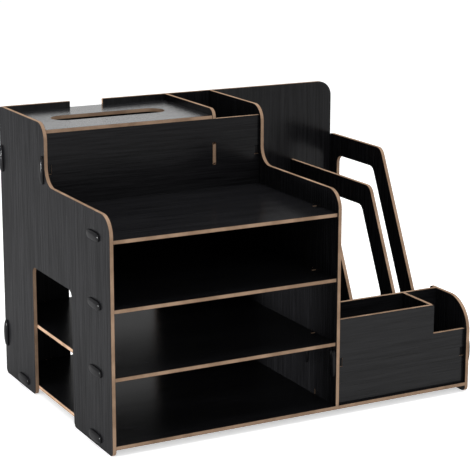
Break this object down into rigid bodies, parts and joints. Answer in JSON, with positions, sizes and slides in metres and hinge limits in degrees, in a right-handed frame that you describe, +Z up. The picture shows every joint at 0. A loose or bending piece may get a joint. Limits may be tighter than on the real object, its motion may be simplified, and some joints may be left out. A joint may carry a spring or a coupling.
{
  "type": "document organizer",
  "caption": "Desk organizer of slot-together boards: stacked open paper trays, a tissue box with a loose lid, a pen box and an upright file bay.",
  "frame": {"origin": "middle of the footprint, on the desk", "axes": "+X towards the pen and file bay, +Y towards the back, +Z up; seen from the front +X is the right"},
  "size_m": [0.443, 0.306, 0.314],
  "materials": {
    "board": "fibreboard with black wood-grain laminate on both faces and raw tan cut edges",
    "clip": "moulded black plastic, glossy"
  },
  "bodies": {
    "frame": {"left_side": "board", "middle_divider": "board", "right_side": "board", "back_panel": "board", "base": "board", "lower_shelf": "board", "upper_shelf": "board", "top_tray": "board", "riser": "board", "tissue_divider": "board", "pen_front": "board", "pen_back": "board", "pen_divider": "board", "file_divider_left": "board", "file_divider_right": "board", "clips_left_side": "clip", "clips_right_side": "clip", "clips_middle_divider": "clip", "clips_back_panel": "clip", "clips_base": "clip"},
    "lid": {"tissue_lid": "board"}
  },
  "joints": [
    {"name": "lid_lift", "type": "slide", "parent": "frame", "child": "lid", "axis": [0, 0, 1], "range_m": [0, 0.04]}
  ]
}
